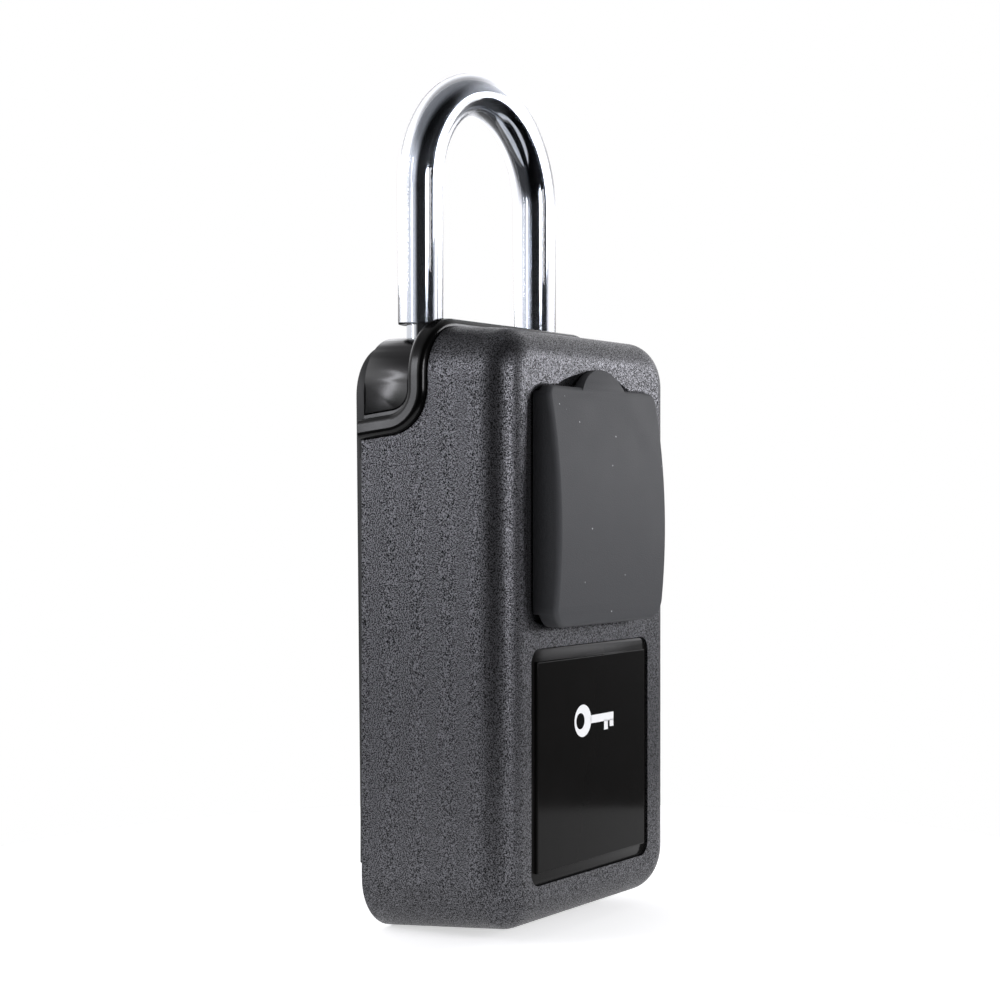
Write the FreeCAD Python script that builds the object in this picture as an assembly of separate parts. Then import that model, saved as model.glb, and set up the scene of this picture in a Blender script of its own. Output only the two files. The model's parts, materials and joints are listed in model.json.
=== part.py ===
import FreeCAD, Part
import math
import os

# Portable push-button key lock box, in millimetres.
# +Z is up, the front faces -Y and +X is to the right seen from the front.
# The origin is at the middle of the footprint, level with the lowest edge.
# Every piece is stored with the lid shut, its latch withdrawn, the shackle pushed in and
# the shackle catch withdrawn, so that each joint is free to move on its own.

V = FreeCAD.Vector

# ---- driving dimensions ----

COVER_RISE = 5.4          # weather cover's apex in front of the shell's face
SHELL_DEPTH = 35.0        # face to rear rim
PLATE_GAP = 0.2           # rim to back plate
PLATE_T = 2.2

Y_FRONT = -(COVER_RISE + SHELL_DEPTH + PLATE_GAP + PLATE_T) / 2
Y_FACE = Y_FRONT + COVER_RISE
Y_RIM = Y_FACE + SHELL_DEPTH
Y_PLATE = Y_RIM + PLATE_GAP
Y_REAR = Y_PLATE + PLATE_T

# shell: a drafted box with rounded corners, larger at the rear rim
FACE_HALF = 34.2
RIM_HALF = 35.4
FACE_LOW = 3.0
FACE_HIGH = 124.6
RIM_HIGH = 127.6
FACE_CORNER = 9.5
RIM_CORNER = 11.8
EDGE_R = 6.7              # rounding between the face and the sides
WALL = 2.5
FRONT_WALL = 4.5
Y_WALL = Y_FACE + FRONT_WALL

# cut-out at the top rear, seen from the side, and its smooth trim
NOTCH_Y = Y_FACE + 18.7
NOTCH_RIM_Z = 102.3
NOTCH_RISE = math.radians(7)
NOTCH_R = 9.6
TRIM_W = 4.4              # bead
TRIM_PROUD = 1.5
TRIM_ROUND = 1.4
TRIM_STEP_W = 0.8         # flange inside the bead
TRIM_STEP_DOWN = 0.8
TRIM_GAP = 0.2
BLOCK_INSET = TRIM_W + TRIM_STEP_W + 0.4
Y_BLOCK = NOTCH_Y + BLOCK_INSET

# weather cover
COVER_HALF = 22.5
COVER_LOW = 63.9
COVER_HIGH = 113.5
COVER_T = 1.6
COVER_CORNER = 2.5
COVER_LOW_CORNER = 4.5
COVER_BOW_R = 155.0
COVER_BOW_Z = 84.0
TAB_HALF = 8.5
TAB_RISE = 4.1
COVER_AXIS_Y = Y_FACE - 1.4
COVER_AXIS_Z = 65.0

# moat around the cover, and the sill that the cover closes over
MOAT_HALF = 25.3
MOAT_LOW = 64.9
MOAT_HIGH = 112.8
MOAT_DEPTH = 1.6
MOAT_LIP = 1.3
SCOOP_AXIS = 14.0         # dish's axis in front of the face
SCOOP_Z = 108.0
SCOOP_R = 16.6
SCOOP_HALF = 20.3
SILL_HALF = 20.2
SILL_LOW = 66.8
SILL_HIGH = 110.6
OPENING_HALF = 18.9
OPENING_LOW = 67.7
OPENING_HIGH = 109.5

# keypad: two columns of five digits, with the clear button and the lever between them
KEY_X = 12.0
KEY_TOP = 106.0
KEY_PITCH = 8.65
KEY_R = 3.2
KEY_FRONT = Y_FACE - 0.4
FLANGE_R = 3.9
STEM_R = 1.3
LEVER_LOW = 78.0
LEVER_HIGH = 86.0
LATCH_TRAVEL = 3.5
SLIDE_HALF = 14.6
SLIDE_LOW = 64.5
SLIDE_HIGH = 100.9
BOLT_HALF = 4.0
BOLT_LOW = 96.9
BOLT_HIGH = 99.9
NOSE_Y = (10.3, 13.5)
NOSE_HIGH = 102.4
LEVER_SLOT_LOW = 79.6
LEVER_SLOT_HIGH = 84.4 + LATCH_TRAVEL

# lock case behind the shell's front wall
CASE_HALF = 22.0
CASE_LOW = 61.0
CASE_HIGH = 116.5
CASE_WALL = 1.5
Y_BEZEL = Y_FACE + 2.0
Y_CASE = Y_WALL + 1.2
Y_SHELF = Y_CASE + 4.3
Y_COVER = Y_FACE + 14.1
Y_COVER_BACK = Y_COVER + 1.2
LOCK_SCREWS = [(x, z) for x in (-17.6, 17.6) for z in (65.3, 112.2)]

# label recess
LABEL_X = -0.65
LABEL_HALF = 24.15
LABEL_LOW = 11.3
LABEL_HIGH = 59.7
LABEL_R = 3.0
LABEL_DEPTH = 2.2
PANEL_DOWN = 0.5          # panel's front below the shell's face
PLATE_PROUD = 0.3         # printed plate's front above the shell's face
PRINT_HALF = 22.2
PRINT_LOW = 13.85
PRINT_HIGH = 57.0

# shackle
ROD_R = 3.0
SLEEVE_R = 4.8
LEG_X = 22.6
LEG_Y = Y_FACE + 29.1
BEND_Z = 156.6
SLEEVE_END = 127.0
TOE_Z = 111.5
HEEL_Z = 104.2
LEG_HOLE_R = 3.1
GROOVE_R = 2.0
GROOVE_LOW = 105.6
GROOVE_HIGH = 121.6

# shackle block and its catch
BLOCK_HALF = 34.1
BLOCK_TOP = 124.3
BLOCK_CORNER = 10.6
FOOT_HALF = 31.3
FOOT_LOW = 103.8
CATCH_Z = 115.0
CATCH_HALF_T = 1.4
CATCH_TRAVEL = 3.0
KNOB_X = -9.0
KNOB_STEM_R = 1.35
RETAINER = (LEG_X - 3.1, 120.0)
BLOCK_SCREWS = [(-11.0, 119.9), (11.0, 119.9)]

# back plate, key tray and hinge
PLATE_LOW = 14.1
PLATE_HIGH = 122.9
PLATE_LOW_HALF = 32.9
PLATE_HIGH_HALF = 34.4
PLATE_CORNER = 11.0
LUGS = [(85.6, 98.8, 1.2, 31.5), (PLATE_LOW, 29.1, 1.9, 30.5)]   # low, high, depth, inner x
TRAY_HALF = 31.0
TRAY_LOW = 27.2
TRAY_HIGH = 94.5
TRAY_FRONT = Y_FACE + 17.0
TRAY_WALL = 1.6
TRAY_SCREWS = [(x, z) for x in (-22.0, 22.0) for z in (36.0, 86.0)]
PIN_Y = Y_FACE + 30.5
PIN_Z = 6.5
PIN_R = 1.5
PIN_HALF = 30.5
ARM_R = 3.2
ARM_X = (14.0, 20.0)
BOSS_R = 3.4
BOSS_X = (21.0, 33.0)
BRACKET_HALF = 24.0
BRACKET_T = 2.0
BRACKET_SCREWS = [(-8.0, 20.5), (8.0, 20.5)]

FAR = 60.0                # past the object in any direction, for cutters


# ---- shapes ----

def box(x_range, y_range, z_range):
    """Block between two limits on each axis."""
    size = [high - low for low, high in (x_range, y_range, z_range)]
    return Part.makeBox(*size, V(x_range[0], y_range[0], z_range[0]))


def mirrored(shape):
    """The same piece on the other side of the middle plane."""
    return shape.mirror(V(0, 0, 0), V(1, 0, 0))


def rod(start, end, radius):
    """Round bar from one point to another."""
    line = V(*end) - V(*start)
    return Part.makeCylinder(radius, line.Length, V(*start), line)


def along_y(spot, y_range, radius):
    """Round bar along Y at an (x, z) spot."""
    return rod((spot[0], y_range[0], spot[1]), (spot[0], y_range[1], spot[1]), radius)


def outline(half, z_low, z_high, radius, y):
    """Rectangle in an XZ plane with four equal corner arcs."""
    edges = []
    inner_x = half - radius
    corners = [(inner_x, z_high - radius, 0), (-inner_x, z_high - radius, 90),
               (-inner_x, z_low + radius, 180), (inner_x, z_low + radius, 270)]
    last = None
    for x, z, start in corners:
        arc = []
        for turn in (0, 45, 90):
            angle = math.radians(start + turn)
            arc.append(V(x + radius * math.cos(angle), y, z + radius * math.sin(angle)))
        if last is not None:
            edges.append(Part.makeLine(last, arc[0]))
        edges.append(Part.Arc(*arc).toShape())
        last = arc[2]
    edges.append(Part.makeLine(last, edges[0].Vertexes[0].Point))
    return Part.Wire(edges)


def plate(half, z_low, z_high, radius, y_range):
    """Flat plate with rounded corners that faces the front."""
    face = Part.Face(outline(half, z_low, z_high, radius, y_range[0]))
    return face.extrude(V(0, y_range[1] - y_range[0], 0))


def slot_z(x, z_range, half, y_range):
    """Upright round-ended slot, cut along Y."""
    low, high = z_range
    body = box((x - half, x + half), y_range, (low + half, high - half))
    ends = [along_y((x, z), y_range, half) for z in (low + half, high - half)]
    return body.multiFuse(ends).removeSplitter()


def side_prism(edges, half):
    """Solid with a closed YZ outline, centred on the middle plane."""
    face = Part.Face(Part.Wire(edges))
    return face.translated(V(-half, 0, 0)).extrude(V(2 * half, 0, 0))


def drafted_box(grow, y_range):
    """The shell's outer form moved outwards by grow, between two planes."""
    rings = []
    for y in y_range:
        t = (y - Y_FACE) / SHELL_DEPTH
        half = FACE_HALF + t * (RIM_HALF - FACE_HALF) + grow
        low = FACE_LOW * (1 - t) - grow
        high = FACE_HIGH + t * (RIM_HIGH - FACE_HIGH) + grow
        corner = FACE_CORNER + t * (RIM_CORNER - FACE_CORNER) + grow
        rings.append(outline(half, low, high, corner, y))
    return Part.makeLoft(rings, True, True)


def notch(inset, half=FAR):
    """Everything above and behind the cut-out's edge moved in by inset."""
    normal = V(0, math.sin(NOTCH_RISE), math.cos(NOTCH_RISE))
    level = V(0, Y_RIM, NOTCH_RIM_Z).dot(normal)
    centre_y = NOTCH_Y + NOTCH_R
    centre_z = (level + NOTCH_R - centre_y * normal.y) / normal.z
    centre = V(0, centre_y, centre_z)
    radius = NOTCH_R - inset
    low = centre - normal * radius
    bisector = V(0, -1, 0) - normal
    middle = centre + bisector.normalize() * radius
    front = centre - V(0, radius, 0)
    rear_low = V(0, FAR, (level + inset - FAR * normal.y) / normal.z)
    top = BEND_Z
    corners = [front, V(0, front.y, top), V(0, FAR, top), rear_low, low]
    edges = [Part.makeLine(a, b) for a, b in zip(corners, corners[1:])]
    edges.append(Part.Arc(low, middle, front).toShape())
    return side_prism(edges, half)


def spring(start, axis, length, coil_r, wire_r, turns):
    """Coil spring of round wire that starts at a point and runs along an axis."""
    clear = length - 2 * wire_r
    helix = Part.makeLongHelix(clear / turns, clear, coil_r)
    section = Part.Wire(Part.makeCircle(wire_r, V(coil_r, 0, 0), V(0, 1, 0)))
    coil = Part.Wire(helix).makePipeShell([section], True, True)
    turn = FreeCAD.Rotation(V(0, 0, 1), V(*axis))
    coil.Placement = FreeCAD.Placement(V(*start) + V(*axis) * wire_r, turn)
    return coil


def screw(spot, y_head, y_tip, shank_r, head_r, head_h, head_side):
    """Pan head screw along Y with a cross slot; head_side is -1 for a head towards the front."""
    shank = along_y(spot, (y_head, y_tip), shank_r)
    crown = y_head + head_side * head_h
    head = along_y(spot, (y_head, crown), head_r)
    head = head.makeFillet(head_h * 0.45, [e for e in head.Edges
                                           if abs(e.CenterOfMass.y - crown) < 0.01
                                           and len(e.Vertexes) == 1])
    slot_y = sorted((crown, crown - head_side * head_h * 0.5))
    x, z = spot
    for half_x, half_z in ((head_r * 0.6, 0.25), (0.25, head_r * 0.6)):
        head = head.cut(box((x - half_x, x + half_x), slot_y, (z - half_z, z + half_z)))
    return head.fuse(shank).removeSplitter()


def save(name, *solids):
    """Write one sub-part as a STEP file."""
    shape = solids[0] if len(solids) == 1 else Part.makeCompound(list(solids))
    shape.exportStep(f"parts/{name}.step")


def key_spots():
    """Digit name and (x, z) centre of each push button: 1 to 5 on the left, 6 to 0 on the right."""
    spots = {}
    for index in range(10):
        column, row = divmod(index, 5)
        x = KEY_X if column else -KEY_X
        spots[str((index + 1) % 10)] = (x, KEY_TOP - row * KEY_PITCH)
    return spots


CLEAR_SPOT = (0.0, KEY_TOP)


# ---- back: plate, tray, hinge and shackle block ----

def plate_half(z):
    """Half width of the back plate, which narrows downwards."""
    t = (z - PLATE_LOW) / (PLATE_HIGH - PLATE_CORNER - PLATE_LOW)
    return PLATE_LOW_HALF + t * (PLATE_HIGH_HALF - PLATE_LOW_HALF)


def side_lugs(proud):
    """Satin lugs let into the plate's two edges."""
    lugs = []
    for low, high, depth, inner in LUGS:
        outer = plate_half((low + high) / 2) + proud
        lug = box((inner, outer), (Y_PLATE, Y_PLATE + depth), (low, high))
        lugs += [lug, mirrored(lug)]
    return lugs


def make_back_plate():
    corner_z = PLATE_HIGH - PLATE_CORNER
    slope = PLATE_CORNER * math.sqrt(0.5)
    inner_x = PLATE_HIGH_HALF - PLATE_CORNER
    right = [(PLATE_LOW_HALF, PLATE_LOW), (PLATE_HIGH_HALF, corner_z),
             (inner_x + slope, corner_z + slope), (inner_x, PLATE_HIGH)]
    r = [V(x, Y_PLATE, z) for x, z in right]
    m = [V(-p.x, p.y, p.z) for p in r]
    edges = [Part.makeLine(m[0], r[0]), Part.makeLine(r[0], r[1]),
             Part.Arc(r[1], r[2], r[3]).toShape(), Part.makeLine(r[3], m[3]),
             Part.Arc(m[3], m[2], m[1]).toShape(), Part.makeLine(m[1], m[0])]
    body = Part.Face(Part.Wire(edges)).extrude(V(0, PLATE_T, 0))
    rear = [e for e in body.Edges if all(abs(v.Y - Y_REAR) < 0.01 for v in e.Vertexes)]
    body = body.makeFillet(0.5, rear)
    for spot in BLOCK_SCREWS + TRAY_SCREWS + BRACKET_SCREWS:
        body = body.cut(along_y(spot, (Y_PLATE, Y_PLATE + 1.7), PIN_R))
    for lug in side_lugs(1.0):
        body = body.cut(lug)
    save("back_plate", body)
    save("plate_side_lugs", *side_lugs(0.25))


def make_key_tray():
    body = plate(TRAY_HALF, TRAY_LOW, TRAY_HIGH, 6.0, (TRAY_FRONT, Y_PLATE))
    inside = plate(TRAY_HALF - TRAY_WALL, TRAY_LOW + TRAY_WALL, TRAY_HIGH - TRAY_WALL,
                   6.0 - TRAY_WALL, (TRAY_FRONT - 1, Y_PLATE - TRAY_WALL))
    body = body.cut(inside)
    for spot in TRAY_SCREWS:
        body = body.cut(along_y(spot, (TRAY_FRONT, Y_PLATE + 1), PIN_R + 0.1))
    save("key_tray", body)
    floor = Y_PLATE - TRAY_WALL
    save("tray_screws", *[screw(s, floor, Y_PLATE + 1.6, PIN_R, 2.7, 1.6, -1)
                          for s in TRAY_SCREWS])


def make_hinge():
    foot_y = Y_PLATE - BRACKET_T
    foot = box((-BRACKET_HALF, BRACKET_HALF), (foot_y, Y_PLATE),
               (PLATE_LOW + 0.3, TRAY_LOW - 0.6))
    # under the pin the arms stop at the barrel, clear of the shell's turning floor
    arm = box(ARM_X, (PIN_Y - ARM_R, foot_y), (PIN_Z, PLATE_LOW + 5.9))
    arm = arm.fuse(rod((ARM_X[0], PIN_Y, PIN_Z), (ARM_X[1], PIN_Y, PIN_Z), ARM_R))
    body = foot.multiFuse([arm, mirrored(arm)]).removeSplitter()
    body = body.cut(rod((-FAR, PIN_Y, PIN_Z), (FAR, PIN_Y, PIN_Z), PIN_R))
    for spot in BRACKET_SCREWS:
        body = body.cut(along_y(spot, (foot_y, Y_PLATE), PIN_R + 0.1))
    save("hinge_bracket", body)
    save("bracket_screws", *[screw(s, foot_y, Y_PLATE + 1.6, PIN_R, 2.7, 1.6, -1)
                             for s in BRACKET_SCREWS])
    pin = rod((-PIN_HALF, PIN_Y, PIN_Z), (PIN_HALF, PIN_Y, PIN_Z), PIN_R)
    save("hinge_pin", pin.makeChamfer(0.3, [e for e in pin.Edges if len(e.Vertexes) == 1]))


def make_shackle_block():
    upper = plate(BLOCK_HALF, 90, BLOCK_TOP, BLOCK_CORNER, (NOTCH_Y, Y_PLATE))
    upper = upper.common(notch(BLOCK_INSET))
    foot = box((-FOOT_HALF, FOOT_HALF), (Y_BLOCK, Y_PLATE), (FOOT_LOW, BLOCK_TOP - 12))
    body = upper.fuse(foot).removeSplitter()
    # leg holes: blind for the toe, through for the heel
    body = body.cut(rod((-LEG_X, LEG_Y, TOE_Z - 0.7), (-LEG_X, LEG_Y, FAR * 3), LEG_HOLE_R))
    body = body.cut(rod((LEG_X, LEG_Y, FOOT_LOW - 1), (LEG_X, LEG_Y, FAR * 3), LEG_HOLE_R))
    # channel for the catch, open to the rear, and a window for its knob
    room = CATCH_HALF_T + 0.2
    z_range = (CATCH_Z - room, CATCH_Z + room)
    body = body.cut(box((-23, 7), (LEG_Y - 3.0, Y_PLATE), z_range))
    knob_room = (KNOB_X - KNOB_STEM_R - 0.45 - CATCH_TRAVEL, KNOB_X + KNOB_STEM_R + 0.45)
    body = body.cut(box(knob_room, (Y_BLOCK - 1, LEG_Y), z_range))
    # keeper pocket for the latch bolt's nose
    body = body.cut(box((-BOLT_HALF - 0.6, BOLT_HALF + 0.6), (NOSE_Y[0] - 0.8, NOSE_Y[1] + 0.8),
                        (FOOT_LOW - 1, NOSE_HIGH + LATCH_TRAVEL + 0.9)))
    retainer = along_y(RETAINER, (Y_BLOCK + 1, Y_PLATE), 1.0)
    body = body.cut(retainer)
    for spot in BLOCK_SCREWS:
        body = body.cut(along_y(spot, (Y_BLOCK, Y_PLATE), PIN_R + 0.1))
        body = body.cut(along_y(spot, (Y_BLOCK, Y_BLOCK + 2.4), 2.8))
    save("shackle_block", body)
    save("heel_retaining_pin", retainer)
    save("block_screws", *[screw(s, Y_BLOCK + 2.4, Y_PLATE + 1.6, PIN_R, 2.6, 2.0, -1)
                           for s in BLOCK_SCREWS])


# ---- shackle and its catch ----

def bent_bar(radius, left_end, right_end):
    """Round U-bar with two straight legs."""
    bend = Part.makeTorus(LEG_X, radius, V(0, LEG_Y, BEND_Z), V(0, 1, 0))
    bend = bend.common(box((-FAR, FAR), (-FAR, FAR), (BEND_Z, FAR * 4)))
    legs = [rod((x, LEG_Y, z), (x, LEG_Y, BEND_Z), radius)
            for x, z in ((-LEG_X, left_end), (LEG_X, right_end))]
    return bend.multiFuse(legs).removeSplitter()


def make_shackle():
    body = bent_bar(ROD_R, TOE_Z, HEEL_Z)
    ends = [e for e in body.Edges if len(e.Vertexes) == 1
            and min(abs(e.CenterOfMass.z - TOE_Z), abs(e.CenterOfMass.z - HEEL_Z)) < 0.01]
    body = body.makeChamfer(0.6, ends)
    notch_x = (-LEG_X + ROD_R - 1.8, -LEG_X + ROD_R + 1)
    body = body.cut(box(notch_x, (LEG_Y - 4, LEG_Y + 4), (CATCH_Z - 1.8, CATCH_Z + 1.8)))
    ring = rod((LEG_X, LEG_Y, GROOVE_LOW), (LEG_X, LEG_Y, GROOVE_HIGH), ROD_R + 1)
    ring = ring.cut(rod((LEG_X, LEG_Y, 0), (LEG_X, LEG_Y, FAR * 3), GROOVE_R))
    body = body.cut(ring)
    save("shackle_rod", body)
    sleeve = bent_bar(SLEEVE_R, SLEEVE_END, SLEEVE_END)
    save("shackle_sleeve", sleeve.cut(bent_bar(ROD_R + 0.05, SLEEVE_END - 5, SLEEVE_END - 5)))


def make_catch():
    tip = -LEG_X + ROD_R + 1.5
    body = box((tip, -1), (LEG_Y - 2.8, LEG_Y + 2.8),
               (CATCH_Z - CATCH_HALF_T, CATCH_Z + CATCH_HALF_T))
    save("shackle_catch", body)
    head = along_y((KNOB_X, CATCH_Z), (Y_BLOCK - 2.7, Y_BLOCK - 0.4), 3.0)
    head = head.makeFillet(0.7, [e for e in head.Edges if len(e.Vertexes) == 1])
    stem = along_y((KNOB_X, CATCH_Z), (Y_BLOCK - 1, LEG_Y - 2.8), KNOB_STEM_R)
    save("catch_knob", head.fuse(stem).removeSplitter())
    save("catch_spring", spring((-1, LEG_Y, CATCH_Z), (1, 0, 0), 8.0, 1.1, 0.22, 7))


# ---- lid: shell, trim and labels ----

def finger_scoop():
    """Barrel-shaped dish above the cover, deepest behind the tab."""
    axis_y = Y_FACE - SCOOP_AXIS
    ends = [V(-SCOOP_HALF, axis_y, SCOOP_Z), V(SCOOP_HALF, axis_y, SCOOP_Z)]
    rise = V(0, SCOOP_AXIS, 0)
    top = V(0, axis_y + SCOOP_R, SCOOP_Z)
    arc = Part.Arc(ends[0] + rise, top, ends[1] + rise).toShape()
    dish = Part.Wire([Part.makeLine(ends[0], ends[0] + rise), arc,
                      Part.makeLine(ends[1] + rise, ends[1]),
                      Part.makeLine(ends[1], ends[0])])
    scoop = Part.Face(dish).revolve(ends[0], V(1, 0, 0), 360)
    return scoop.common(box((-FAR, FAR), (-FAR, 0), (MOAT_HIGH - 0.2, FAR * 3)))


def make_front_shell():
    body = drafted_box(0, (Y_FACE, Y_RIM))
    front = [e for e in body.Edges if all(abs(v.Y - Y_FACE) < 0.01 for v in e.Vertexes)]
    body = body.makeFillet(EDGE_R, front)
    outer = body
    body = body.cut(drafted_box(-WALL, (Y_WALL, Y_RIM + 1)))
    # hinge bosses grow up from the floor around the pin
    boss = rod((BOSS_X[0], PIN_Y, PIN_Z), (BOSS_X[1], PIN_Y, PIN_Z), BOSS_R)
    boss = boss.fuse(box(BOSS_X, (PIN_Y - BOSS_R, PIN_Y + BOSS_R), (-1, PIN_Z)))
    body = body.multiFuse([boss.common(outer), mirrored(boss).common(outer)])
    bore = PIN_HALF + 0.4
    body = body.cut(rod((-bore, PIN_Y, PIN_Z), (bore, PIN_Y, PIN_Z), PIN_R + 0.06))
    body = body.cut(notch(0))
    # moat with a soft outer lip
    floor = Y_FACE + MOAT_DEPTH
    moat = plate(MOAT_HALF, MOAT_LOW, MOAT_HIGH, 5.0, (Y_FACE - 1, floor))
    body = body.cut(moat)
    lip = [e for e in body.Edges if all(abs(v.Y - Y_FACE) < 0.01 for v in e.Vertexes)
           and e.BoundBox.XMin > -MOAT_HALF - 0.1 and e.BoundBox.XMax < MOAT_HALF + 0.1
           and e.BoundBox.ZMin > MOAT_LOW - 0.1 and e.BoundBox.ZMax < MOAT_HIGH + 0.1]
    body = body.makeFillet(MOAT_LIP, lip)
    body = body.fuse(plate(SILL_HALF, SILL_LOW, SILL_HIGH, 3.5, (Y_FACE, floor)))
    body = body.cut(plate(OPENING_HALF, OPENING_LOW, OPENING_HIGH, 3.0,
                          (Y_FACE - 1, Y_WALL + 1)))
    recess = plate(LABEL_HALF, LABEL_LOW, LABEL_HIGH, LABEL_R,
                   (Y_FACE - 1, Y_FACE + LABEL_DEPTH))
    body = body.cut(recess.translated(V(LABEL_X, 0, 0)))
    body = body.cut(finger_scoop())
    for spot in LOCK_SCREWS:
        body = body.cut(along_y(spot, (Y_WALL - 2.2, Y_WALL), 1.25))
    save("front_shell", body)


def on_outer_form(edge, grow):
    """Whether an edge lies on the shell's outer form moved out by grow, short of the rim."""
    faces = [f for f in drafted_box(grow, (Y_FACE, Y_RIM)).Faces if f.BoundBox.YLength > 1]
    span = edge.LastParameter - edge.FirstParameter
    points = [edge.valueAt(edge.FirstParameter + span * part) for part in (0.1, 0.5, 0.9)]
    if min(p.y for p in points) > Y_RIM - 0.01:
        return False
    skin = Part.Compound(faces)
    return all(skin.distToShape(Part.Vertex(p))[0] < 0.02 for p in points)


def make_notch_trim():
    inside = drafted_box(-WALL, (Y_FACE + 4, Y_RIM + 1))
    bead = drafted_box(TRIM_PROUD, (Y_FACE + 5, Y_RIM)).cut(inside)
    bead = bead.common(notch(TRIM_GAP).cut(notch(TRIM_W)))
    bead = bead.makeFillet(TRIM_ROUND, [e for e in bead.Edges if on_outer_form(e, TRIM_PROUD)])
    step = drafted_box(-TRIM_STEP_DOWN, (Y_FACE + 5, Y_RIM)).cut(inside)
    step = step.common(notch(TRIM_W - 0.1).cut(notch(TRIM_W + TRIM_STEP_W)))
    save("notch_trim", bead.fuse(step).removeSplitter())


def make_labels():
    front = Y_FACE + PANEL_DOWN
    panel = plate(LABEL_HALF - 0.12, LABEL_LOW + 0.12, LABEL_HIGH - 0.12, LABEL_R - 0.12,
                  (front, Y_FACE + LABEL_DEPTH))
    save("label_panel", panel.translated(V(LABEL_X, 0, 0)))
    top = Y_FACE - PLATE_PROUD
    label = box((LABEL_X - PRINT_HALF, LABEL_X + PRINT_HALF), (top, front),
                (PRINT_LOW, PRINT_HIGH))
    rim = [e for e in label.Edges if all(abs(v.Y - top) < 0.01 for v in e.Vertexes)]
    save("label_plate", label.makeFillet(0.3, rim))


# ---- lid: combination lock ----

def make_bezel():
    body = plate(OPENING_HALF - 0.1, OPENING_LOW + 0.1, OPENING_HIGH - 0.1, 2.9,
                 (Y_BEZEL, Y_CASE))
    body = body.fuse(plate(CASE_HALF, CASE_LOW, CASE_HIGH, 4.0, (Y_WALL, Y_CASE)))
    through = (Y_BEZEL - 1, Y_CASE + 1)
    for spot in list(key_spots().values()) + [CLEAR_SPOT]:
        body = body.cut(along_y(spot, through, KEY_R + 0.07))
    body = body.cut(slot_z(0, (LEVER_SLOT_LOW, LEVER_SLOT_HIGH), 2.1, through))
    for spot in LOCK_SCREWS:
        body = body.cut(along_y(spot, through, 1.35))
    save("keypad_bezel", body)


def make_case():
    body = plate(CASE_HALF, CASE_LOW, CASE_HIGH, 4.0, (Y_CASE, Y_COVER))
    for y_range in ((Y_CASE, Y_SHELF), (Y_SHELF + 1.2, Y_COVER)):
        body = body.cut(plate(CASE_HALF - CASE_WALL, CASE_LOW + CASE_WALL,
                              CASE_HIGH - CASE_WALL, 2.5, y_range))
    body = body.multiFuse([along_y(s, (Y_CASE, Y_COVER), 2.6) for s in LOCK_SCREWS])
    through = (Y_CASE - 1, Y_COVER + 1)
    for spot in LOCK_SCREWS:
        body = body.cut(along_y(spot, through, 1.35))
    for spot in list(key_spots().values()) + [CLEAR_SPOT]:
        body = body.cut(along_y(spot, through, STEM_R + 0.1))
    body = body.cut(slot_z(0, (LEVER_SLOT_LOW, LEVER_SLOT_HIGH), 2.1, through))
    save("lock_case", body.removeSplitter())


def make_lock_cover():
    body = plate(CASE_HALF, CASE_LOW, CASE_HIGH, 4.0, (Y_COVER, Y_COVER_BACK))
    through = (Y_COVER - 1, Y_COVER_BACK + 1)
    for spot in LOCK_SCREWS:
        body = body.cut(along_y(spot, through, 1.35))
    for spot in key_spots().values():
        body = body.cut(along_y(spot, through, 2.0))
    body = body.cut(box((-BOLT_HALF - 0.4, BOLT_HALF + 0.4), through,
                        (BOLT_LOW - 0.4, BOLT_HIGH + LATCH_TRAVEL + 0.4)))
    save("lock_cover", body)
    save("lock_screws", *[screw(s, Y_COVER_BACK, Y_WALL - 2.1, 1.25, 2.4, 1.3, 1)
                          for s in LOCK_SCREWS])
    heads = []
    for x, z in key_spots().values():
        head = along_y((x, z), (Y_COVER, Y_COVER_BACK + 0.5), 2.0)
        heads.append(head.cut(box((x - 1.5, x + 1.5), (Y_COVER_BACK, Y_COVER_BACK + 1),
                                  (z - 0.3, z + 0.3))))
    save("code_screws", *heads)


def make_button(name, spot):
    flange_y = Y_CASE + 0.3
    cap = along_y(spot, (KEY_FRONT, flange_y), KEY_R)
    cap = cap.makeFillet(0.6, [e for e in cap.Edges if len(e.Vertexes) == 1
                               and abs(e.CenterOfMass.y - KEY_FRONT) < 0.01])
    flange = along_y(spot, (flange_y, flange_y + 1.0), FLANGE_R)
    stem = along_y(spot, (flange_y, Y_SHELF + 2.0), STEM_R)
    save(name, cap.multiFuse([flange, stem]).removeSplitter())


def make_keypad():
    coils = []
    spring_y = Y_CASE + 1.3
    for digit, spot in list(key_spots().items()) + [("clear", CLEAR_SPOT)]:
        make_button("clear_button" if digit == "clear" else f"button_{digit}", spot)
        coils.append(spring((spot[0], spring_y, spot[1]), (0, 1, 0), Y_SHELF - spring_y,
                            2.2, 0.2, 3))
    save("button_springs", *coils)


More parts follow.
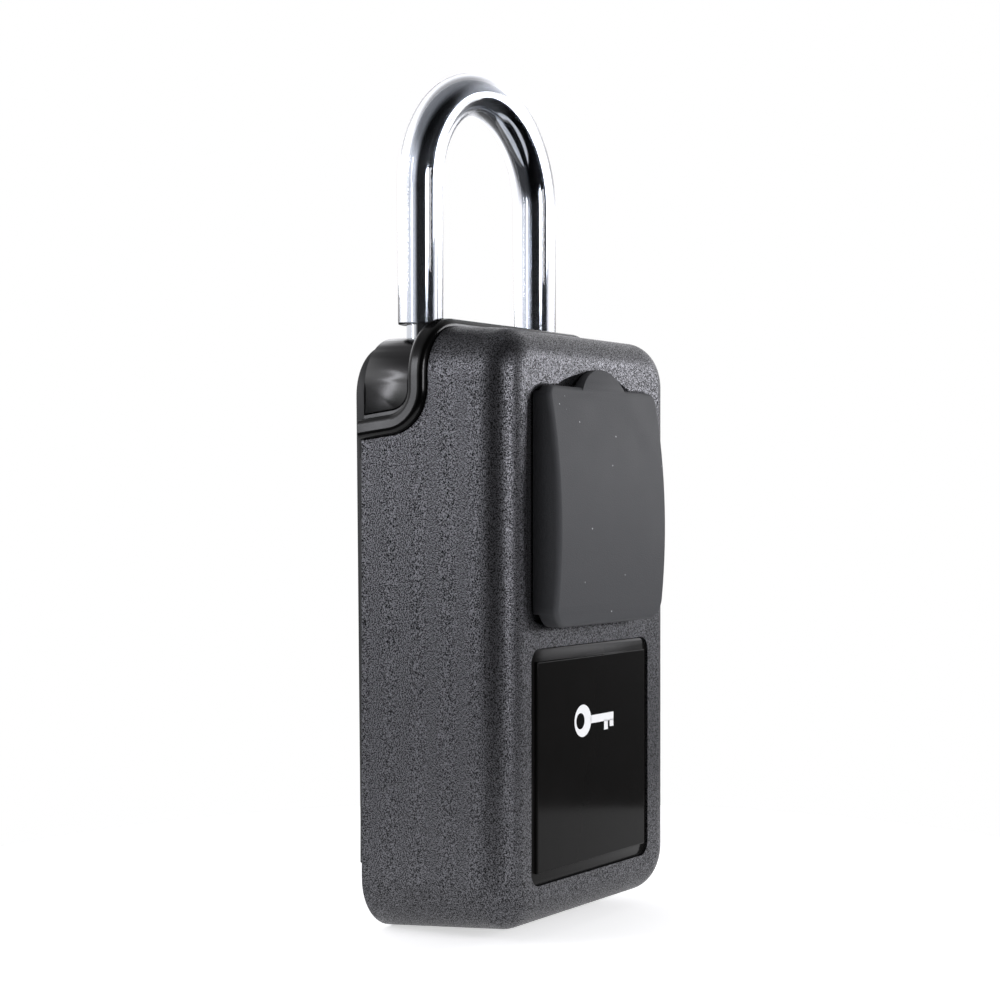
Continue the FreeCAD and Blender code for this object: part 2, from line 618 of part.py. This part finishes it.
def make_lever_and_latch():
    knob = plate(4.2, LEVER_LOW, LEVER_HIGH, 1.6, (Y_FACE - 1.0, Y_BEZEL - 0.2))
    for z in (79.9, 81.3, 82.7, 84.1):
        knob = knob.cut(rod((-5, Y_FACE - 1.0, z), (5, Y_FACE - 1.0, z), 0.35))
    stem = box((-1.8, 1.8), (Y_BEZEL - 1, Y_SHELF + 2.8), (81.0, 83.0))
    guide = box((-3.6, 3.6), (Y_CASE + 0.3, Y_CASE + 1.3), (LEVER_LOW + 0.5, LEVER_HIGH - 0.5))
    save("open_lever", knob.multiFuse([stem, guide]).removeSplitter())
    slide_y = (Y_SHELF + 1.6, Y_SHELF + 2.8)
    slide = plate(SLIDE_HALF, SLIDE_LOW, SLIDE_HIGH, 1.5, slide_y)
    for x, z in key_spots().values():
        if z < KEY_TOP:
            reach = STEM_R + 0.4
            slide = slide.cut(slot_z(x, (z - LATCH_TRAVEL - reach, z + reach), reach, slide_y))
    slide = slide.cut(box((-2.1, 2.1), slide_y, (80.7, 83.3)))
    save("code_slide", slide)
    bolt_x = (-BOLT_HALF, BOLT_HALF)
    arm = box(bolt_x, (slide_y[1], NOSE_Y[1]), (BOLT_LOW, BOLT_HIGH))
    nose = box(bolt_x, NOSE_Y, (BOLT_LOW, NOSE_HIGH))
    save("latch_bolt", arm.fuse(nose).removeSplitter())


# ---- weather cover ----

def cover_side(shrink):
    """Solid behind the cover's bowed front, moved in by shrink, seen from the side."""
    radius = COVER_BOW_R - shrink
    centre = V(0, Y_FRONT + COVER_BOW_R, COVER_BOW_Z)
    arc = []
    for z in (40.0, COVER_BOW_Z, 125.0):
        arc.append(V(0, centre.y - math.sqrt(radius ** 2 - (z - centre.z) ** 2), z))
    back = [V(0, FAR, 125.0), V(0, FAR, 40.0)]
    edges = [Part.Arc(*arc).toShape(), Part.makeLine(arc[2], back[0]),
             Part.makeLine(back[0], back[1]), Part.makeLine(back[1], arc[0])]
    return side_prism(edges, FAR)


def make_weather_cover():
    y_range = (Y_FRONT - 2, Y_FACE + 1.1)
    block = plate(COVER_HALF, COVER_LOW, COVER_HIGH, COVER_CORNER, y_range)
    block = block.common(plate(COVER_HALF, COVER_LOW, COVER_HIGH + FAR, COVER_LOW_CORNER,
                               y_range))
    tab_r = (TAB_HALF ** 2 + TAB_RISE ** 2) / (2 * TAB_RISE)
    tab_z = COVER_HIGH + TAB_RISE - tab_r
    tab = along_y((0, tab_z), (y_range[0], Y_FACE - 0.3), tab_r)
    tab = tab.common(box((-FAR, FAR), (-FAR, FAR), (COVER_HIGH - 1.0, FAR * 3)))
    body = block.fuse(tab).common(cover_side(0))
    hollow = plate(COVER_HALF - COVER_T, COVER_LOW + COVER_T, COVER_HIGH - COVER_T,
                   COVER_CORNER - 1.0, y_range)
    hollow = hollow.common(plate(COVER_HALF - COVER_T, COVER_LOW + COVER_T, COVER_HIGH + FAR,
                                 COVER_LOW_CORNER - COVER_T, y_range))
    body = body.cut(hollow.common(cover_side(COVER_T)))
    # only the skirt's sides reach into the moat; its ends stop in front of the face
    low_end = (COVER_LOW - 1, SILL_LOW - 0.2)
    high_end = (MOAT_HIGH - 0.5, FAR * 3)
    for z_range in (low_end, high_end):
        body = body.cut(box((-FAR, FAR), (Y_FACE - 0.2, FAR), z_range))
    low_edge = [e for e in body.Edges if abs(e.BoundBox.ZMin - COVER_LOW) < 0.01
                and e.BoundBox.ZLength < 0.01 and e.BoundBox.YMax < Y_FACE - 3
                and e.BoundBox.XLength > COVER_HALF]
    body = body.makeFillet(1.1, low_edge)
    save("weather_cover", body.removeSplitter())
    web = box((-12, 12), (COVER_AXIS_Y - 0.4, Y_FACE + MOAT_DEPTH),
              (COVER_AXIS_Z + 0.6, COVER_AXIS_Z + 1.4))
    save("cover_hinge_web", web)


os.makedirs("parts", exist_ok=True)
make_back_plate()
make_key_tray()
make_hinge()
make_shackle_block()
make_shackle()
make_catch()
make_front_shell()
make_notch_trim()
make_labels()
make_bezel()
make_case()
make_lock_cover()
make_keypad()
make_lever_and_latch()
make_weather_cover()
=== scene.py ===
import bpy, bmesh, json, math
from mathutils import Matrix, Vector


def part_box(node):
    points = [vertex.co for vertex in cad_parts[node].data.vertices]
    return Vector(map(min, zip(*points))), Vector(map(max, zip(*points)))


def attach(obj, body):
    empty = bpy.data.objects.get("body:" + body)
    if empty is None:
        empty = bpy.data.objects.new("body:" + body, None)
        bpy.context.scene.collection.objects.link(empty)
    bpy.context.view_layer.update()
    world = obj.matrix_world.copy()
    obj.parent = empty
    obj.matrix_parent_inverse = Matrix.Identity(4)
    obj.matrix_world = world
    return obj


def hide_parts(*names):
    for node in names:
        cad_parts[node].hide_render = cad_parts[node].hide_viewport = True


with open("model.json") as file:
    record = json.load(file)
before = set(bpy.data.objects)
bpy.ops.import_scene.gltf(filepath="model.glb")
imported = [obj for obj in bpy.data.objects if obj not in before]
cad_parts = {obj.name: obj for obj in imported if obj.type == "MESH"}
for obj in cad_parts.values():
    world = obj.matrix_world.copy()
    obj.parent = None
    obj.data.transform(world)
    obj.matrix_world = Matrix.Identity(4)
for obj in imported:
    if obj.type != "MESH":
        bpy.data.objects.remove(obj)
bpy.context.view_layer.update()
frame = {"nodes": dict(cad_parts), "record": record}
NODES = frame["nodes"]
BODY_OF = {node: body for body, members in frame["record"]["behaviour"]["bodies"].items()
           for node in members}
MM = 0.001
DIGITS = "1234567890"

# the studio, in metres; every light is aimed at MIDDLE
CAMERA_X, CAMERA_BEFORE_FACE, CAMERA_Z = -0.36675, 0.21696, 0.090
CAMERA_WAY = (0.836, 0.549, 0)
CAMERA_LENS = 72
MIDDLE = (0, 0, 0.09)
SOFTBOXES = (    # name, place, width and height, radiance, tint
    ("rear_left_strip", (-0.98, 0.62, 0.40), (0.12, 0.7), 12.0, "f8f9ff"),
    ("front_softbox", (-0.18, -0.98, 0.27), (0.32, 0.34), 15.0, "fbfbff"),
    ("right_softbox", (0.79, -0.56, 0.26), (0.4, 0.30), 9.0, "fbfbff"),
)
FLOOR_R = 0.16
DARK_SIDE = (-0.301, -0.954, 0.0)    # level direction of the studio's dim end
ROOM_BRIGHT, ROOM_DIM = 1.9, 0.04    # strength of the room away from it and towards it
FROM_BELOW, FROM_OVERHEAD = 0.05, 0.22    # shares of that strength low down and straight up

# places that several pieces share, read from the frame
FACE_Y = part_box("front_shell")[0].y
ROD_LOW, ROD_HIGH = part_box("shackle_rod")
SLEEVE_LOW, SLEEVE_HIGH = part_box("shackle_sleeve")
SLEEVE_R = (SLEEVE_HIGH.y - SLEEVE_LOW.y) / 2
ROD_R = (ROD_HIGH.y - ROD_LOW.y) / 2
LEG_X = SLEEVE_HIGH.x - SLEEVE_R
LEG_Y = (SLEEVE_LOW.y + SLEEVE_HIGH.y) / 2
BEND_Z = SLEEVE_HIGH.z - SLEEVE_R - LEG_X

# clear sleeve, in millimetres
SLEEVE_GAP = 0.08         # between rod and tube
SLEEVE_EDGE = 0.35        # rounding of the tube's cut ends

# printed matter, in millimetres
FILM = 0.02               # how far a legend stands off its key, each way
LEGEND_TALL = 0.62        # a legend's size against its key's height
SIGN_FILM = 0.03          # thickness of the key sign's ink
SIGN_LIFT = 0.02          # middle of that ink in front of the label's face
SIGN_DOWN = 13.5          # sign's centre line below the label's top edge
SIGN_LEFT = 4.4           # bow's centre left of the label's middle
BOW_R, BOW_HOLE_R, BOW_HOLE_X = 3.4, 1.7, -1.0
SHANK_AND_TEETH = ((8.0, 0, 9.6, 1.7), (9.6, -1.7, 1.6, 2.0), (12.0, -1.45, 1.6, 1.5))


# ---- camera, floor and light ----

def srgb(code):
    """Linear RGBA of an sRGB hex colour."""
    out = []
    for i in (0, 2, 4):
        c = int(code[i:i + 2], 16) / 255
        out.append(c / 12.92 if c <= 0.04045 else ((c + 0.055) / 1.055) ** 2.4)
    return (*out, 1.0)


def look(position, direction):
    """Matrix that puts an object at position with its -Z along direction."""
    turn = Vector(direction).to_track_quat("-Z", "Y").to_matrix().to_4x4()
    return Matrix.Translation(Vector(position)) @ turn


def make_camera():
    """Level camera in front of the box and to its left."""
    camera = bpy.data.objects.new("camera", bpy.data.cameras.new("camera"))
    bpy.context.scene.collection.objects.link(camera)
    camera.data.sensor_width = 36
    camera.data.lens = CAMERA_LENS
    camera.data.clip_start = 0.01
    camera.matrix_world = look((CAMERA_X, FACE_Y - CAMERA_BEFORE_FACE, CAMERA_Z), CAMERA_WAY)
    bpy.context.scene.camera = camera


def softbox(name, position, size, radiance, tint):
    """Rectangular soft light with a given radiance, aimed at the box's middle."""
    light = bpy.data.lights.new(name, "AREA")
    light.shape = "RECTANGLE"
    light.size, light.size_y = size
    light.energy = radiance * size[0] * size[1] * math.pi
    light.color = srgb(tint)[:3]
    lamp = bpy.data.objects.new(name, light)
    bpy.context.scene.collection.objects.link(lamp)
    lamp.matrix_world = look(position, Vector(MIDDLE) - Vector(position))


def make_room():
    """World light: white, and dim low down, overhead and in front; the backdrop is white."""
    world = bpy.data.worlds.new("studio")
    bpy.context.scene.world = world
    world.use_nodes = True
    tree = world.node_tree
    tree.nodes.clear()
    way = add(tree, "ShaderNodeTexCoord").outputs["Generated"]
    height = add(tree, "ShaderNodeSeparateXYZ", {"Vector": way}).outputs["Z"]
    front = add(tree, "ShaderNodeVectorMath", {0: way, 1: DARK_SIDE}, operation="DOT_PRODUCT")
    open_side = add(tree, "ShaderNodeMapRange", {
        "Value": front.outputs["Value"], "From Min": -0.05, "From Max": 0.50,
        "To Min": ROOM_BRIGHT, "To Max": ROOM_DIM}, interpolation_type="SMOOTHSTEP")
    above = add(tree, "ShaderNodeMapRange", {
        "Value": height, "From Min": -0.20, "From Max": 0.30,
        "To Min": FROM_BELOW, "To Max": 1.0}, interpolation_type="SMOOTHSTEP")
    overhead = add(tree, "ShaderNodeMapRange", {
        "Value": height, "From Min": 0.35, "From Max": 0.80,
        "To Min": 1.0, "To Max": FROM_OVERHEAD}, interpolation_type="SMOOTHSTEP")
    sides = add(tree, "ShaderNodeMath", {0: open_side.outputs[0], 1: above.outputs[0]},
                operation="MULTIPLY")
    level = add(tree, "ShaderNodeMath", {0: sides.outputs[0], 1: overhead.outputs[0]},
                operation="MULTIPLY")
    room = add(tree, "ShaderNodeBackground", {"Color": srgb("fcfcff"),
                                              "Strength": level.outputs[0]})
    backdrop = add(tree, "ShaderNodeBackground", {"Color": srgb("ffffff"), "Strength": 1.0})
    path = add(tree, "ShaderNodeLightPath")
    mix = add(tree, "ShaderNodeMixShader", {0: path.outputs["Is Camera Ray"],
                                            1: room.outputs[0], 2: backdrop.outputs[0]})
    add(tree, "ShaderNodeOutputWorld", {"Surface": mix.outputs[0]})


def make_studio():
    """Lights, room, floor and plain view settings."""
    for light in SOFTBOXES:
        softbox(*light)
    make_room()
    bm = bmesh.new()
    bmesh.ops.create_circle(bm, cap_ends=True, segments=96, radius=FLOOR_R)
    floor = mesh_object("floor", bm)
    floor.data.materials.append(painted_board())
    scene = bpy.context.scene
    scene.view_settings.view_transform = "Standard"
    scene.view_settings.look = "None"


# ---- mesh helpers ----

def mesh_object(name, bm, smooth=False):
    """Object at the origin made from a bmesh, which is freed."""
    mesh = bpy.data.meshes.new(name)
    bm.normal_update()
    bm.to_mesh(mesh)
    bm.free()
    thing = bpy.data.objects.new(name, mesh)
    bpy.context.scene.collection.objects.link(thing)
    if smooth:
        mesh.polygons.foreach_set("use_smooth", [True] * len(mesh.polygons))
    return thing


def modifier(thing, kind, **settings):
    """Add a modifier with its settings."""
    mod = thing.modifiers.new(kind.lower(), kind)
    for key, value in settings.items():
        setattr(mod, key, value)
    return mod


def apply_all(thing):
    """Bake a piece's modifiers into its mesh."""
    bpy.context.view_layer.update()
    graph = bpy.context.evaluated_depsgraph_get()
    mesh = bpy.data.meshes.new_from_object(thing.evaluated_get(graph))
    thing.modifiers.clear()
    thing.data = mesh


def fit(thing, body, slot, material, *replaced):
    """Finish a piece: its material, the body it rides on and what it stands for; slot is not
    used.
    """
    thing.data.materials.clear()
    thing.data.materials.append(material)
    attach(thing, body)
    if replaced:
        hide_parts(*replaced)


def softened(node, name, width, material, slot, segments=3, angle=32):
    """Copy of a CAD node with its sharp edges broken by a small round."""
    bm = bmesh.new()
    bm.from_mesh(NODES[node].data)
    bmesh.ops.remove_doubles(bm, verts=bm.verts[:], dist=1e-6)
    bmesh.ops.dissolve_limit(bm, angle_limit=math.radians(0.4), verts=bm.verts[:],
                             edges=bm.edges[:])
    thing = mesh_object(name, bm, smooth=True)
    modifier(thing, "BEVEL", width=width * MM, segments=segments, limit_method="ANGLE",
             angle_limit=math.radians(angle), harden_normals=True, use_clamp_overlap=True,
             miter_outer="MITER_ARC")
    fit(thing, BODY_OF[node], slot, material, node)
    return thing


# ---- materials ----

def add(tree, kind, inputs=None, **settings):
    """Add a node with its settings; inputs maps a socket to a value or to another output."""
    made = tree.nodes.new(kind)
    for key, value in settings.items():
        setattr(made, key, value)
    for key, value in (inputs or {}).items():
        if isinstance(value, bpy.types.NodeSocket):
            tree.links.new(value, made.inputs[key])
        else:
            made.inputs[key].default_value = value
    return made


def finish_of(name, **values):
    """New material with a Principled shader; returns the material, its tree and the shader."""
    material = bpy.data.materials.new(name)
    material.use_nodes = True
    tree = material.node_tree
    tree.nodes.clear()
    shader = add(tree, "ShaderNodeBsdfPrincipled",
                 {key.replace("_", " "): value for key, value in values.items()})
    add(tree, "ShaderNodeOutputMaterial", {"Surface": shader.outputs[0]})
    return material, tree, shader


def painted_board():
    # painted board: matt and faintly mottled, with a little glow that keeps it white
    material, tree, shader = finish_of("painted_board", Roughness=0.9,
                                       Emission_Color=srgb("ffffff"),
                                       Emission_Strength=0.55)
    spot = add(tree, "ShaderNodeTexCoord").outputs["Object"]
    noise = add(tree, "ShaderNodeTexNoise", {"Vector": spot, "Scale": 40.0, "Detail": 3.0})
    tone = add(tree, "ShaderNodeMix", {"Factor": noise.outputs["Fac"], "A": srgb("f6f6f6"),
                                       "B": srgb("fafafa")}, data_type="RGBA")
    tree.links.new(tone.outputs["Result"], shader.inputs["Base Color"])
    return material


def powder_coat(name, dark, light, grain_mm, depth_mm, roughness):
    # sand-textured polyester powder coat: black with pale rounded grains that glitter. A real
    # coat isn't metal: Metallic is matched to the object's dark glitter and isn't typical
    material, tree, shader = finish_of(name, Metallic=0.9)
    spot = add(tree, "ShaderNodeTexCoord").outputs["Object"]
    grains = add(tree, "ShaderNodeTexNoise",
                 {"Vector": spot, "Scale": 1 / (grain_mm * MM), "Detail": 1.0,
                  "Roughness": 0.4})
    bump = add(tree, "ShaderNodeBump", {"Height": grains.outputs["Fac"], "Strength": 1.0,
                                        "Distance": depth_mm * MM})
    tone = add(tree, "ShaderNodeMapRange",
               {"Value": grains.outputs["Fac"], "From Min": 0.36, "From Max": 0.68})
    colour = add(tree, "ShaderNodeMix", {"Factor": tone.outputs[0], "A": srgb(dark),
                                         "B": srgb(light)}, data_type="RGBA")
    shine = add(tree, "ShaderNodeMapRange",
                {"Value": grains.outputs["Fac"], "From Min": 0.35, "From Max": 0.65,
                 "To Min": roughness + 0.15, "To Max": roughness - 0.10})
    tree.links.new(colour.outputs["Result"], shader.inputs["Base Color"])
    tree.links.new(shine.outputs[0], shader.inputs["Roughness"])
    tree.links.new(bump.outputs[0], shader.inputs["Normal"])
    return material


def plain_finish(name, colours, roughness, texture_mm, depth_mm, spread=0.06, **values):
    # one finish with a moulded, rolled or plated grain; colour and gloss drift over about 8 mm
    material, tree, shader = finish_of(name, **values)
    spot = add(tree, "ShaderNodeTexCoord").outputs["Object"]
    noise = add(tree, "ShaderNodeTexNoise",
                {"Vector": spot, "Scale": 1 / (texture_mm * MM), "Detail": 4.0})
    cloud = add(tree, "ShaderNodeTexNoise", {"Vector": spot, "Scale": 120.0, "Detail": 2.0})
    tone = add(tree, "ShaderNodeMix", {"Factor": cloud.outputs["Fac"], "A": srgb(colours[0]),
                                       "B": srgb(colours[1])}, data_type="RGBA")
    shine = add(tree, "ShaderNodeMapRange",
                {"Value": cloud.outputs["Fac"], "From Min": 0.3, "From Max": 0.7,
                 "To Min": roughness - spread / 2, "To Max": roughness + spread / 2})
    bump = add(tree, "ShaderNodeBump", {"Height": noise.outputs["Fac"], "Strength": 0.6,
                                        "Distance": depth_mm * MM})
    tree.links.new(tone.outputs["Result"], shader.inputs["Base Color"])
    tree.links.new(shine.outputs[0], shader.inputs["Roughness"])
    tree.links.new(bump.outputs[0], shader.inputs["Normal"])
    return material


def dusty_rubber():
    # compression-moulded EPDM: matt and slightly bloomed, with a few bright specks of dust.
    # Per metre: bloom in 7 mm patches, dust in 2.4 mm cells, and pores of 0.28 mm, which are
    # coarser than real ones so that they show
    bloom_scale, dust_scale, pore_scale = 140.0, 420.0, 3600.0
    material, tree, shader = finish_of("moulded_epdm_rubber")
    spot = add(tree, "ShaderNodeTexCoord").outputs["Object"]
    bloom = add(tree, "ShaderNodeTexNoise", {"Vector": spot, "Scale": bloom_scale,
                                             "Detail": 4.0})
    pores = add(tree, "ShaderNodeTexNoise", {"Vector": spot, "Scale": pore_scale,
                                             "Detail": 2.0})
    tone = add(tree, "ShaderNodeMix", {"Factor": bloom.outputs["Fac"], "A": srgb("303134"),
                                       "B": srgb("36373a")}, data_type="RGBA")
    cells = add(tree, "ShaderNodeTexVoronoi", {"Vector": spot, "Scale": dust_scale})
    speck = add(tree, "ShaderNodeMath", {0: cells.outputs["Distance"], 1: 0.07},
                operation="LESS_THAN")
    some = add(tree, "ShaderNodeSeparateColor", {"Color": cells.outputs["Color"]})
    kept = add(tree, "ShaderNodeMath", {0: some.outputs["Red"], 1: 0.86},
               operation="GREATER_THAN")
    dust = add(tree, "ShaderNodeMath", {0: speck.outputs[0], 1: kept.outputs[0]},
               operation="MULTIPLY")
    colour = add(tree, "ShaderNodeMix", {"Factor": dust.outputs[0],
                                         "A": tone.outputs["Result"],
                                         "B": srgb("b8b9bb")}, data_type="RGBA")
    bump = add(tree, "ShaderNodeBump", {"Height": pores.outputs["Fac"], "Strength": 0.8,
                                        "Distance": 0.05 * MM})
    shine = add(tree, "ShaderNodeMapRange", {"Value": bloom.outputs["Fac"], "From Min": 0.3,
                                             "From Max": 0.7, "To Min": 0.62, "To Max": 0.66})
    tree.links.new(colour.outputs["Result"], shader.inputs["Base Color"])
    tree.links.new(shine.outputs[0], shader.inputs["Roughness"])
    tree.links.new(bump.outputs[0], shader.inputs["Normal"])
    return material


def clear_vinyl():
    # extruded clear PVC tube: glass-like, with a faint uneven haze
    material, tree, shader = finish_of("clear_pvc_tube", Transmission_Weight=1.0, IOR=1.46)
    shader.inputs["Base Color"].default_value = srgb("e6e8ec")
    spot = add(tree, "ShaderNodeTexCoord").outputs["Object"]
    noise = add(tree, "ShaderNodeTexNoise", {"Vector": spot, "Scale": 60.0, "Detail": 2.0})
    shine = add(tree, "ShaderNodeMapRange", {"Value": noise.outputs["Fac"], "From Min": 0.3,
                                             "From Max": 0.7, "To Min": 0.015, "To Max": 0.05})
    tree.links.new(shine.outputs[0], shader.inputs["Roughness"])
    return material


def make_materials():
    """Every finish by name: colours, roughness, grain and depth in mm, spread of roughness."""
    plain = {
        # stoved enamel on the cast block: near black with soft highlights
        "satin_black_enamel": (("040405", "060607"), 0.20, 0.5, 0.004, 0.06),
        # thin paint on pressed steel: dull and a little grey
        "black_plate_coat": (("101011", "18181a"), 0.55, 0.3, 0.05),
        # moulded nylon: dark with a waxy sheen
        "black_nylon": (("121213", "171719"), 0.42, 0.12, 0.01),
        # moulded ABS: an even grey with a low sheen
        "grey_abs": (("3a3b3d", "424345"), 0.40, 0.15, 0.01),
        # polished mould, light grey: the brighter gloss of the keys
        "light_grey_abs": (("c6c6c2", "d0d0cc"), 0.30, 0.2, 0.005),
        # the same gloss in red, for the lever
        "red_abs": (("6a1212", "7c1616"), 0.30, 0.2, 0.005),
        # pad-printed ink: flat black, flat white
        "black_print": (("0a0a0a", "101010"), 0.45, 0.2, 0.002),
        "white_print": (("eceded", "f4f4f4"), 0.35, 0.2, 0.001),
    }
    made = {name: plain_finish(name, *values) for name, values in plain.items()}
    metal = {
        # bright chrome on a drawn rod: a mirror, slightly blurred
        "chrome_plate": (("bfc2c6", "cbced2"), 0.11, 1.2, 0.003, 0.04),
        # zinc plate on pressed steel: pale and satin
        "zinc_plated_steel": (("a9adb0", "bcbfc0"), 0.30, 0.08, 0.004),
        # bare die-cast zinc: grey and dull
        "cast_zinc": (("8f9194", "9b9da0"), 0.45, 0.25, 0.02),
        # turned brass: yellow with a soft shine
        "turned_brass": (("b8924a", "c7a25a"), 0.28, 0.1, 0.004),
    }
    for name, values in metal.items():
        made[name] = plain_finish(name, *values, Metallic=1.0)
    # polished black ABS and a gloss label film: both reflect less than the usual 0.5, which
    # is matched to the object and keeps them black under these lights
    made["gloss_black_abs"] = plain_finish(
        "gloss_black_abs", ("040404", "070707"), 0.20, 0.5, 0.003, 0.06,
        Specular_IOR_Level=0.22)
    made["gloss_black_panel"] = plain_finish(
        "gloss_black_panel", ("121211", "161515"), 0.10, 1.5, 0.002, 0.02,
        Specular_IOR_Level=0.05)
    made["sand_powder_coat"] = powder_coat("sand_powder_coat", "080808", "6c6c70",
                                           0.24, 0.04, 0.44)
    made["dusty_rubber"] = dusty_rubber()
    made["clear_vinyl"] = clear_vinyl()
    return made


# ---- pieces ----

def ease_edges(m):
    """Copies of the CAD pieces whose sharp edges show, each with its round in millimetres."""
    for node, width, material, slot in (
            ("shackle_block", 0.5, "satin_black_enamel", "block_coat"),
            ("back_plate", 0.3, "black_plate_coat", "plate_coat"),
            ("plate_side_lugs", 0.25, "black_nylon", "lug_coat"),
            ("weather_cover", 0.25, "dusty_rubber", "cover_rubber"),
            ("label_panel", 0.15, "gloss_black_panel", "label_gloss")):
        softened(node, node + "_finished", width, m[material], slot)


def u_tube(name, radius, end_z):
    """Round U-tube surface along the shackle's centre line, open at both ends."""
    bm = bmesh.new()
    ring = bmesh.ops.create_circle(bm, cap_ends=False, segments=64, radius=radius)
    bmesh.ops.translate(bm, verts=ring["verts"], vec=(-LEG_X, LEG_Y, end_z))
    rise = Vector((0, 0, BEND_Z - end_z))
    made = bmesh.ops.extrude_edge_only(bm, edges=bm.edges[:])["geom"]
    bmesh.ops.translate(bm, verts=[v for v in made if isinstance(v, bmesh.types.BMVert)],
                        vec=rise)
    top = [e for e in made if isinstance(e, bmesh.types.BMEdge)
           and all(abs(v.co.z - BEND_Z) < 1e-6 for v in e.verts)]
    last = bmesh.ops.spin(bm, geom=top, cent=(0, LEG_Y, BEND_Z), axis=(0, 1, 0),
                          angle=math.pi, steps=72)["geom_last"]
    edges = [e for e in last if isinstance(e, bmesh.types.BMEdge)]
    made = bmesh.ops.extrude_edge_only(bm, edges=edges)["geom"]
    bmesh.ops.translate(bm, verts=[v for v in made if isinstance(v, bmesh.types.BMVert)],
                        vec=-rise)
    bmesh.ops.remove_doubles(bm, verts=bm.verts[:], dist=1e-7)
    bmesh.ops.recalc_face_normals(bm, faces=bm.faces[:])
    return mesh_object(name, bm, smooth=True)


def make_sleeve(m):
    """Clear tube over the shackle's rod, with walls and rounded ends."""
    tube = u_tube("clear_sleeve", SLEEVE_R, SLEEVE_LOW.z)
    modifier(tube, "SOLIDIFY", thickness=SLEEVE_R - ROD_R - SLEEVE_GAP * MM, offset=-1,
             use_even_offset=True)
    modifier(tube, "BEVEL", width=SLEEVE_EDGE * MM, segments=3, limit_method="ANGLE",
             angle_limit=math.radians(50))
    apply_all(tube)
    fit(tube, "shackle", "sleeve_vinyl", m["clear_vinyl"], "shackle_sleeve")


def make_label(m):
    """Gloss label plate and the plain key sign printed on it."""
    softened("label_plate", "domed_label", 0.12, m["gloss_black_panel"], "label_print")
    low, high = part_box("label_plate")
    place = ((low.x + high.x) / 2 - SIGN_LEFT * MM, low.y - SIGN_LIFT * MM,
             high.z - SIGN_DOWN * MM)
    bm = bmesh.new()
    bmesh.ops.create_circle(bm, cap_ends=False, segments=48, radius=BOW_R * MM)
    hole = bmesh.ops.create_circle(bm, cap_ends=False, segments=48,
                                   radius=BOW_HOLE_R * MM)["verts"]
    bmesh.ops.translate(bm, verts=hole, vec=(BOW_HOLE_X * MM, 0, 0))
    bmesh.ops.bridge_loops(bm, edges=bm.edges[:])
    for x, z, wide, tall in SHANK_AND_TEETH:
        bar = bmesh.ops.create_grid(bm, x_segments=1, y_segments=1, size=0.5 * MM)["verts"]
        bmesh.ops.scale(bm, verts=bar, vec=(wide, tall, 1))
        bmesh.ops.translate(bm, verts=bar, vec=(x * MM, z * MM, 0))
    bmesh.ops.transform(bm, verts=bm.verts[:], matrix=(
        Matrix.Translation(place) @ Matrix.Rotation(math.pi / 2, 4, "X")))
    sign = mesh_object("key_pictogram", bm)
    modifier(sign, "SOLIDIFY", thickness=SIGN_FILM * MM, offset=0)
    apply_all(sign)
    fit(sign, BODY_OF["label_plate"], "label_print", m["white_print"])


def make_legends(m):
    """Figures on the keys and the clear key's C, each a thin raised film of ink."""
    for key in ["button_" + digit for digit in DIGITS] + ["clear_button"]:
        low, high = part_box(key)
        text = bpy.data.curves.new("legend", "FONT")
        text.body = "C" if key == "clear_button" else key[-1]
        text.align_x = text.align_y = "CENTER"
        text.size = (high.z - low.z) * LEGEND_TALL
        text.extrude = FILM * MM
        words = bpy.data.objects.new("legend", text)
        bpy.context.scene.collection.objects.link(words)
        ink = bpy.data.meshes.new_from_object(words)
        bpy.data.objects.remove(words)
        ink.transform(
            Matrix.Translation(((low.x + high.x) / 2, low.y, (low.z + high.z) / 2))
            @ Matrix.Rotation(math.pi / 2, 4, "X"))
        legend = bpy.data.objects.new("legend_" + key, ink)
        bpy.context.scene.collection.objects.link(legend)
        fit(legend, BODY_OF[key], "key_plastic", m["black_print"])


def dress_cad_nodes(m):
    """Better finishes for the CAD nodes whose shape stays."""
    finish = {
        "sand_powder_coat": ["front_shell"],
        "chrome_plate": ["shackle_rod"],
        "dusty_rubber": ["cover_hinge_web"],
        "gloss_black_abs": ["notch_trim"],
        "black_nylon": ["keypad_bezel", "catch_knob"],
        "grey_abs": ["key_tray"],
        "light_grey_abs": ["clear_button"] + ["button_" + d for d in DIGITS],
        "red_abs": ["open_lever"],
        "cast_zinc": ["lock_case"],
        "turned_brass": ["code_screws"],
        "zinc_plated_steel": ["tray_screws", "hinge_bracket", "bracket_screws", "hinge_pin",
                              "block_screws", "heel_retaining_pin", "catch_spring",
                              "shackle_catch", "lock_cover", "lock_screws", "button_springs",
                              "latch_bolt", "code_slide"],
    }
    for name, nodes in finish.items():
        for node in nodes:
            NODES[node].material_slots[0].material = m[name]


make_camera()
make_studio()
materials = make_materials()
ease_edges(materials)
make_sleeve(materials)
make_label(materials)
make_legends(materials)
dress_cad_nodes(materials)
